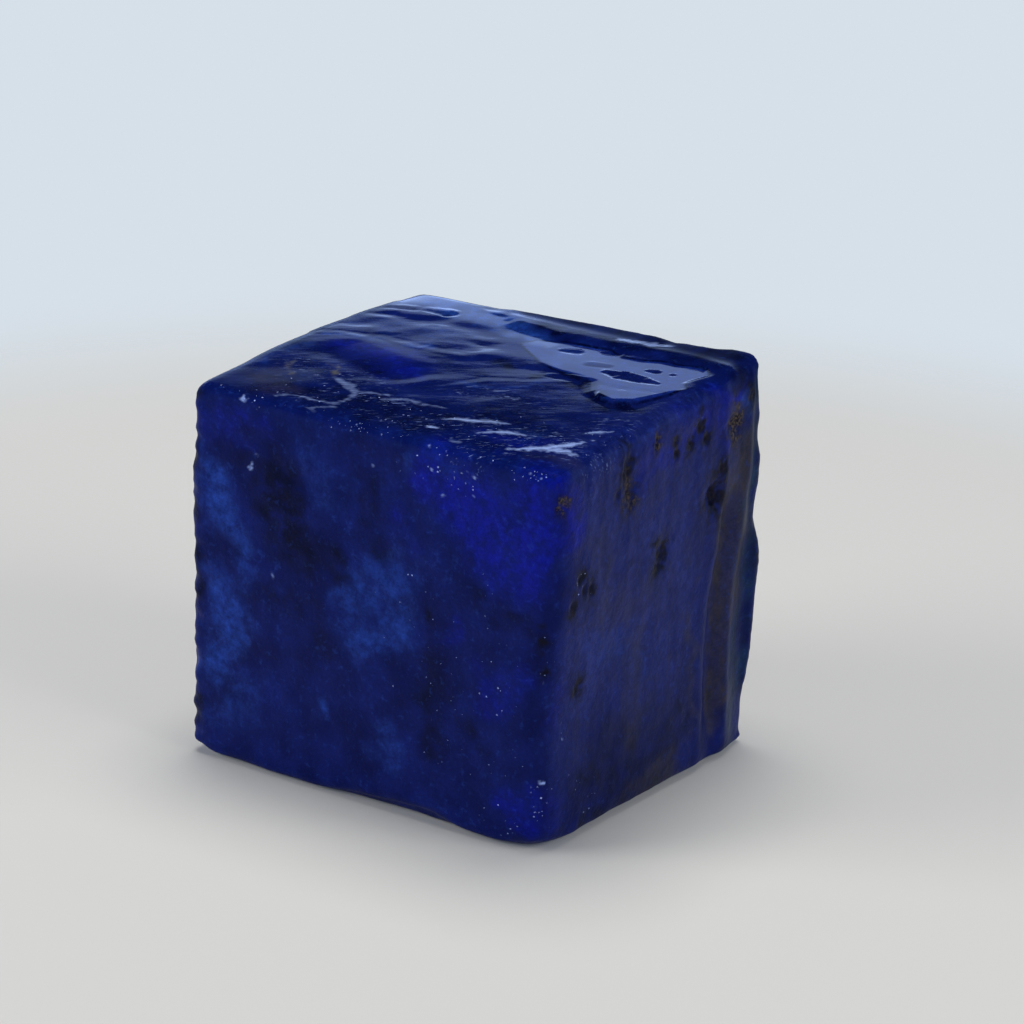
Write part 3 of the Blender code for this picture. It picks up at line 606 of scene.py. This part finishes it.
def paintMask(points, name):    # how strongly a mark shows at each point
    bent = np.stack([sum(reach * noiseAt(points, size, seed + more)
                         for size, reach, more in painting["bends"])
                     for seed in seeds["bends"]], 1)
    bent *= name not in painting["straight"]
    mask = np.zeros(len(points))
    for strength, stroke in marks[name]:
        _, past, width = nearestOn(points + bent, stroke)
        mask = np.maximum(mask, strength * (1 - ease(*fades["mark"], past / width)))
    return mask


def writeMask(mesh, name, values):
    layer = mesh.attributes.new(name, "FLOAT", "POINT")
    layer.data.foreach_set("value", np.clip(values, 0, 1))


def dressStone(node):           # the finished shape, with a mask for each colour or gloss
    fine = fineMesh(node)
    count = len(fine.vertices)
    points, normals = np.zeros(count * 3), np.zeros(count * 3)
    fine.vertices.foreach_get("co", points)
    fine.vertices.foreach_get("normal", normals)
    points, normals = points.reshape(-1, 3) / mm, normals.reshape(-1, 3)
    moved = points + normals * relief(points, normals)[:, None]
    fine.vertices.foreach_set("co", (moved * mm).ravel())
    fine.shade_smooth()
    top = ease(*fades["topColour"], normals[:, 2])
    onShelf = withinShelf(points)
    # painted shade on the riser of the shelf's step, added to the darkest mask
    riserShade = ease(*fades["riserFoot"], onShelf) * (1 - ease(*fades["riserHead"], onShelf)) * top
    bare = np.zeros(count)
    for stroke, _ in dimples:
        _, past, width = nearestOn(points, stroke)
        bare = np.maximum(bare, 1 - ease(*fades["bare"], past / width))
    for name in marks:
        mask = paintMask(points, name)
        writeMask(fine, name, np.maximum(mask, riserShade) if name == "darkAndShade" else mask)
    writeMask(fine, "top", top)
    writeMask(fine, "side", ease(*fades["sideColour"], normals[:, 0]))
    writeMask(fine, "calm", calmShare(points))
    # the shelf's mask carries its wax and its paler colour, a painted reflection of the window
    # band
    wax = ease(*fades["wax"], withinOutline(points, shelf, softness["wax"]))
    writeMask(fine, "shelf", wax * (1 - painting["bareness"] * bare) * top)
    chalkAndGlint, rust, pitDark = np.zeros(count), np.zeros(count), np.zeros(count)
    ragged = noiseAt(points, painting["raggedSize"], seeds["ragged"])
    torn = ragged + painting["tornShare"] * noiseAt(points, painting["tornSize"], seeds["torn"])
    # pale paint on the steps: chalky scuffs, and painted highlights on the streaks, the glints
    # and the rim
    for name, strength in glintsAndScuffs.items():
        for stroke in treads[name][2]:
            past = nearestOn(points, stroke)[1] + painting["glintAndScuffFray"] * ragged
            inside = 1 - ease(*fades["glintAndScuff"], past)
            chalkAndGlint = np.maximum(chalkAndGlint, strength * inside * top)
    for x, y, z, radius, _, pale in chips:
        share = np.sqrt(((points - (x, y, z)) ** 2).sum(1)) / radius + ragged
        chalkAndGlint = np.maximum(chalkAndGlint, pale * (1 - ease(*fades["chip"], share)))
    # each pit is darker in and around it, besides its rust
    for x, y, z, radius, _, stain in pits:
        share = fromPit(points, (x, y, z)) / radius + torn
        rust = np.maximum(rust, stain * (1 - ease(*fades["rust"], share)))
        pitDark = np.maximum(pitDark, 1 - ease(*fades["pitDark"], share))
    for name, mask in (("chalkAndGlint", chalkAndGlint), ("rust", rust), ("pitDark", pitDark)):
        writeMask(fine, name, mask)
    fine.update()
    piece = bpy.data.objects.new("tanzanite_skin", fine)
    scene.collection.objects.link(piece)
    return piece


print("shaping and painting the stone")
skin = dressStone(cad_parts["rough_tanzanite"])
triangles = sum(len(face.vertices) - 2 for face in skin.data.polygons)
print("triangles of the stone", triangles)

finish = {
    "navy": "040F46",
    "blue": "0D1D63",
    "slate": "1D2866",
    "cloud": "1F3E90",
    # paler blue of the level shelf: a painted reflection of the window band
    "shelf": "142E82",
    # paler blue of the back flat: a painted reflection of the window band
    "sheenBand": "1F469C",
    "glow": "0A1688",
    # painted shade, and the darker tone of the stone and its grain
    "darkAndShade": "020626",
    "teal": "1A3049",
    "smoke": "393538",
    "stain": "6C6A52",
    # pale chips and scuffs, and painted highlights
    "chalkAndGlint": "A3BAF2",
    "dust": "A3B2E4",
    # darker in and around the pits
    "pitDark": "090A1A",
    "rust": "54463A",
    "topGloss": 0.07,           # roughness of the waxed top
    "sideGloss": 0.42,          # and of the satin sides
    "coatGloss": 0.05,          # and of the wax film over it
    "shelfWax": 0.34,           # how thick the wax lies on the shelf, the back flat, the scuffs and the painted highlights
    "sheenBandWax": 0.58,
    "chalkAndGlintWax": 0.6,
    "dullness": 0.6,            # what is added where the top is dull
    "ior": 1.69,                # zoisite
    "specular": 0.045,
    "fray": 1.3,                # how torn the colours' outlines are
    "streaks": (0.6, 0.8),      # the smoke between the upright streaks, and what they add
    "noiseRoughness": 0.62,     # how strong the finer steps of each pattern are
    "sideBump": 0.016,          # mm, the satin sides' finest relief
    "topBump": 0.004,           # and the waxed top's
    "calmBump": 0.3,            # how much of it is left in the calm places
    "dustSize": 0.18,           # mm between specks
    "dustRadii": (0.12, 0.5),   # of that distance
}
# The layers of colour over the mottled ground, from the lowest: where each one lies, what breaks
# it up, how strong it is and its colour.
# the shelf layer and the pale band of the back flat are painted reflections of the window band,
# the near-black layer over edges and patches is partly painted shade, and the sparks and the
# chalky steps are partly painted highlights
layers = [
    ("slate", "torn", 1.0, "slate"), ("shelf", "torn", 0.6, "shelf"),
    ("cloud", "torn", 1.0, "cloud"), ("glow", "torn", 1.0, "glow"),
    ("sheenBand", "torn", 0.7, "sheenBand"), ("darkAndShade", "torn", 1.0, "darkAndShade"),
    ("teal", "torn", 1.0, "teal"), ("smoke", "streaked", 1.1, "smoke"),
    ("fibres", "torn", 0.4, "darkAndShade"), ("leather", None, 0.38, "darkAndShade"),
    ("grain", None, 0.3, "darkAndShade"), ("frost", "torn", 0.2, "cloud"),
    ("stain", "leather", 1.0, "stain"), ("pitDark", None, 1.0, "pitDark"),
    ("rust", "crumbs", 0.8, "rust"), ("sparks", "glints", 0.75, "chalkAndGlint"),
    ("specks", None, 1.0, "dust"), ("chalkAndGlint", "ledges", 1.4, "chalkAndGlint"),
]
# Each pattern's size along the ledges, across them and up, in mm, its turn in degrees, its
# detail, and the noise values that become 0 and 1.
patterns = {
    "mottle": ((2.4, 2.4, 2.4), 0, 8.0, 0.36, 0.64),
    "frayed": ((0.9, 0.9, 0.9), 0, 8.0, 0.36, 0.64),
    "leather": ((0.6, 0.6, 0.6), 0, 5.0, 0.38, 0.66),
    "grain": ((0.2, 0.2, 0.2), 0, 2.0, 0.35, 0.7),
    "frost": ((0.45, 0.45, 0.45), 0, 4.0, 0.55, 0.75),
    "fibre": ((1.6, 1.6, 5.0), 0, 4.0, 0.42, 0.64),
    "cluster": ((1.3, 1.3, 1.3), 0, 3.0, 0.38, 0.58),
    "crumbs": ((0.15, 0.15, 0.15), 0, 2.0, 0.42, 0.6),
    "ledges": ((0.7, 0.22, 0.5), 34.4, 4.0, 0.2, 0.8),
    "glints": ((0.7, 0.13, 0.3), 34.4, 3.0, 0.6, 0.7),
}


def tanzaniteRough():           # zoisite gem rough, broken and waxed: deep violet blue, glossy
    material = bpy.data.materials.new("tanzanite_waxed_rough")
    material.use_nodes = True
    tree = material.node_tree
    shader = tree.nodes["Principled BSDF"]
    shader.inputs["IOR"].default_value = finish["ior"]
    shader.inputs["Specular IOR Level"].default_value = finish["specular"]
    shader.inputs["Coat Roughness"].default_value = finish["coatGloss"]
    place = addNode(tree, "ShaderNodeTexCoord").outputs["Object"]
    maps = {}
    for name, (sizes, turn, detail, low, high) in patterns.items():
        laid = addNode(tree, "ShaderNodeMapping", {"vector_type": "TEXTURE",
                       "Scale": [size * mm for size in sizes],
                       "Rotation": (0, 0, math.radians(turn))}, {"Vector": place})
        lumps = addNode(tree, "ShaderNodeTexNoise", {"Scale": 1.0, "Detail": detail,
                        "Roughness": finish["noiseRoughness"]},
                        {"Vector": laid.outputs["Vector"]})
        maps[name] = addNode(tree, "ShaderNodeMapRange", {"From Min": low, "From Max": high},
                             {"Value": lumps.outputs["Fac"]}).outputs["Result"]
    for name in list(marks) + ["top", "side", "calm", "shelf", "chalkAndGlint", "rust", "pitDark"]:
        maps[name] = addNode(tree, "ShaderNodeAttribute",
                             {"attribute_name": name}).outputs["Fac"]
    # what a mask is multiplied by: a least share, and how much more where the pattern is strong
    for name, pattern, (least, more) in (
            ("torn", "frayed", (1 - 0.5 * finish["fray"], finish["fray"])),
            ("streaked", "fibre", finish["streaks"])):
        maps[name] = addNode(tree, "ShaderNodeMath", {"operation": "MULTIPLY_ADD", 1: more,
                             2: least}, {0: maps[pattern]}).outputs["Value"]
    for name, pattern, mask in (("fibres", "fibre", "side"), ("dusty", "cluster", "dust"),
                                ("sparks", "cluster", "spark")):
        maps[name] = addNode(tree, "ShaderNodeMath", {"operation": "MULTIPLY"},
                             {0: maps[mask], 1: maps[pattern]}).outputs["Value"]
    # specks of dust sit in cells, and a cell has one where its random value is under the mask
    cells = addNode(tree, "ShaderNodeTexVoronoi", {"Scale": 1 / (finish["dustSize"] * mm)},
                    {"Vector": place})
    draw = addNode(tree, "ShaderNodeSeparateColor", None, {0: cells.outputs["Color"]})
    radius = addNode(tree, "ShaderNodeMapRange", {"To Min": finish["dustRadii"][0],
                     "To Max": finish["dustRadii"][1]}, {"Value": draw.outputs["Green"]})
    eaten = addNode(tree, "ShaderNodeMath", {"operation": "MULTIPLY"},
                    {0: radius.outputs["Result"], 1: maps["crumbs"]})
    within = addNode(tree, "ShaderNodeMath", {"operation": "LESS_THAN"},
                     {0: cells.outputs["Distance"], 1: eaten.outputs["Value"]})
    chosen = addNode(tree, "ShaderNodeMath", {"operation": "LESS_THAN"},
                     {0: draw.outputs["Red"], 1: maps["dusty"]})
    seen = addNode(tree, "ShaderNodeMath", {"operation": "MULTIPLY"},
                   {0: within.outputs["Value"], 1: draw.outputs["Blue"]})
    maps["specks"] = addNode(tree, "ShaderNodeMath", {"operation": "MULTIPLY"},
                             {0: seen.outputs["Value"],
                              1: chosen.outputs["Value"]}).outputs["Value"]
    colour = addNode(tree, "ShaderNodeMix", {"data_type": "RGBA", 6: linear(finish["navy"]),
                     7: linear(finish["blue"])}, {0: maps["mottle"]}).outputs[2]
    for where, breaks, strength, name in layers:
        share = addNode(tree, "ShaderNodeMath", {"operation": "MULTIPLY", "use_clamp": True,
                        1: strength}, {0: maps[where]}).outputs["Value"]
        if breaks:
            share = addNode(tree, "ShaderNodeMath", {"operation": "MULTIPLY",
                            "use_clamp": True}, {0: share, 1: maps[breaks]}).outputs["Value"]
        colour = addNode(tree, "ShaderNodeMix", {"data_type": "RGBA", 7: linear(finish[name])},
                         {0: share, 6: colour}).outputs[2]
    tree.links.new(colour, shader.inputs["Base Color"])
    # the sides and the dull places are rougher than the waxed top
    waxed = addNode(tree, "ShaderNodeMapRange", {"To Min": finish["sideGloss"],
                    "To Max": finish["topGloss"]}, {"Value": maps["top"]})
    rubbed = addNode(tree, "ShaderNodeMath", {"operation": "MULTIPLY_ADD",
                     1: finish["dullness"]}, {0: maps["dull"], 2: waxed.outputs["Result"]})
    tree.links.new(rubbed.outputs["Value"], shader.inputs["Roughness"])
    # wax has gathered on the level shelf, the back flat, the scuffs and the painted highlights
    wax = None
    for name in ("shelf", "sheenBand", "chalkAndGlint"):
        film = addNode(tree, "ShaderNodeMath", {"operation": "MULTIPLY_ADD",
                       1: finish[name + "Wax"], 2: 0.0}, {0: maps[name]})
        if wax:
            tree.links.new(wax, film.inputs[2])
        wax = film.outputs["Value"]
    tree.links.new(wax, shader.inputs["Coat Weight"])
    # the finest grain, in mm
    stilled = addNode(tree, "ShaderNodeMapRange", {"To Min": finish["topBump"],
                      "To Max": finish["topBump"] * finish["calmBump"]},
                      {"Value": maps["calm"]})
    topGrain = addNode(tree, "ShaderNodeMath", {"operation": "MULTIPLY"},
                       {0: maps["ledges"], 1: stilled.outputs["Result"]})
    sideGrain = addNode(tree, "ShaderNodeMath", {"operation": "MULTIPLY",
                        1: finish["sideBump"]}, {0: maps["leather"]})
    height = addNode(tree, "ShaderNodeMix", {"data_type": "FLOAT"},
                     {0: maps["top"], 2: sideGrain.outputs["Value"],
                      3: topGrain.outputs["Value"]})
    bump = addNode(tree, "ShaderNodeBump", {"Distance": mm}, {"Height": height.outputs[0]})
    tree.links.new(bump.outputs["Normal"], shader.inputs["Normal"])
    return material


print("mixing its material")
skin.data.materials.append(tanzaniteRough())
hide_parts("rough_tanzanite")
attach(skin, "root")

stage = {
    "floor": "D8D5CC",
    "floorSides": 128,
    "floorDrop": 0.02,          # mm below the stone
    "floorRoughness": 0.9,
    "floorSpecular": 0.1,
    "fade": (70.0, 108.0),      # mm from the stone, where the floor melts away
    "backdrop": "D6E0E9",
    "mirrored": 0.35,           # how strong the backdrop is in reflections
    "window": "A9C5FC",         # the pale band of light above the horizon
    "windowLow": 2.6,           # its strength near the horizon
    "windowHigh": 1.2,          # and at its top
    "above": 0.03,              # and what is left over it
    "tinting": (-1.0, 1.0),     # degrees of elevation between which it takes its colour,
    "rising": (0.0, 4.0),       # its strength near the horizon,
    "dimming": (5.0, 13.0),     # its strength at the top
    "ending": (18.5, 22.6),     # and where it ends
    "aim": (0, 0, 13),          # mm, what the softboxes shine at
    "softboxes": {              # place and diameter in mm, watts
        "overhead": ((-40, 60, 420), 260, 1.1),
        "left_fill": ((-260, -260, 160), 240, 0.8),
        "right_fill": ((320, 20, 180), 240, 0.5),
    },
}
camera = {
    "lens": 144.0,              # mm
    "sensor": 36.0,
    "clip": (0.01, 10),         # metres
    "eye": (145.26, -208.69, 108.78),  # mm from the middle of the stone's underside
    "right": (0.81936, 0.57261, 0.02772),
    "down": (0.21635, -0.26406, -0.93993),
}


def makeFloor():
    form = bmesh.new()
    bmesh.ops.create_circle(form, cap_ends=True, segments=stage["floorSides"],
                            radius=stage["fade"][1] * mm)
    mesh = bpy.data.meshes.new("floor")
    form.to_mesh(mesh)
    form.free()
    floor = bpy.data.objects.new("floor", mesh)
    floor.location.z = -stage["floorDrop"] * mm
    scene.collection.objects.link(floor)
    material = bpy.data.materials.new("pale_card_floor")
    material.use_nodes = True
    tree = material.node_tree
    shader = tree.nodes["Principled BSDF"]
    shader.inputs["Base Color"].default_value = linear(stage["floor"])
    shader.inputs["Roughness"].default_value = stage["floorRoughness"]
    shader.inputs["Specular IOR Level"].default_value = stage["floorSpecular"]
    place = addNode(tree, "ShaderNodeTexCoord")
    away = addNode(tree, "ShaderNodeVectorMath", {"operation": "LENGTH"},
                   {0: place.outputs["Object"]})
    solid = addNode(tree, "ShaderNodeMapRange", {"interpolation_type": "SMOOTHSTEP",
                    "From Min": stage["fade"][0] * mm, "From Max": stage["fade"][1] * mm,
                    "To Min": 1.0, "To Max": 0.0}, {"Value": away.outputs["Value"]})
    tree.links.new(solid.outputs["Result"], shader.inputs["Alpha"])
    mesh.materials.append(material)


def makeStudio():
    world = bpy.data.worlds.new("studio")
    scene.world = world
    world.use_nodes = True
    tree = world.node_tree
    ground = tree.nodes["Background"]
    place = addNode(tree, "ShaderNodeTexCoord")
    height = addNode(tree, "ShaderNodeSeparateXYZ", None, {0: place.outputs["Generated"]})
    mirrored = addNode(tree, "ShaderNodeLightPath").outputs["Is Glossy Ray"]
    steps = {}                  # values that change between two elevations
    for name, before, after in (("tinting", 0.0, 1.0), ("rising", 0.0, 1.0),
                                ("dimming", 1.0, stage["windowHigh"] / stage["windowLow"]),
                                ("ending", 1.0, stage["above"])):
        low, high = [math.sin(math.radians(angle)) for angle in stage[name]]
        steps[name] = addNode(tree, "ShaderNodeMapRange", {"interpolation_type": "SMOOTHSTEP",
                              "From Min": low, "From Max": high, "To Min": before,
                              "To Max": after}, {"Value": height.outputs["Z"]}).outputs["Result"]
    below = addNode(tree, "ShaderNodeMapRange", {"To Min": 1.0, "To Max": stage["mirrored"]},
                    {"Value": mirrored}).outputs["Result"]
    strength = addNode(tree, "ShaderNodeMapRange", {"To Max": stage["windowLow"]},
                       {"Value": steps["rising"], "To Min": below}).outputs["Result"]
    for name in ("dimming", "ending"):
        strength = addNode(tree, "ShaderNodeMath", {"operation": "MULTIPLY"},
                           {0: strength, 1: steps[name]}).outputs["Value"]
    tree.links.new(strength, ground.inputs["Strength"])
    tint = addNode(tree, "ShaderNodeMix", {"data_type": "RGBA", 6: linear(stage["backdrop"]),
                   7: linear(stage["window"])}, {0: steps["tinting"]})
    tree.links.new(tint.outputs[2], ground.inputs["Color"])


def addSoftbox(name, place, size, watts):
    light = bpy.data.lights.new(name, "AREA")
    light.shape = "DISK"
    light.size = size * mm
    light.energy = watts
    box = bpy.data.objects.new(name, light)
    box.location = Vector(place) * mm
    box.rotation_mode = "QUATERNION"
    way = Vector(stage["aim"]) * mm - box.location
    box.rotation_quaternion = way.to_track_quat("-Z", "Y")
    box.visible_glossy = False  # the gloss mirrors the window band alone
    scene.collection.objects.link(box)


def placeCamera():
    data = bpy.data.cameras.new("camera")
    data.lens, data.sensor_width = camera["lens"], camera["sensor"]
    data.clip_start, data.clip_end = camera["clip"]
    placed = bpy.data.objects.new("camera", data)
    right, down = Vector(camera["right"]), Vector(camera["down"])
    turn = Matrix((right, -down, -right.cross(down))).transposed()
    placed.matrix_world = Matrix.Translation(Vector(camera["eye"]) * mm) @ turn.to_4x4()
    scene.collection.objects.link(placed)
    scene.camera = placed


print("setting the floor, the light and the camera")
makeFloor()
makeStudio()
for name, (place, size, watts) in stage["softboxes"].items():
    addSoftbox(name, place, size, watts)
placeCamera()
scene.view_settings.view_transform = "Standard"
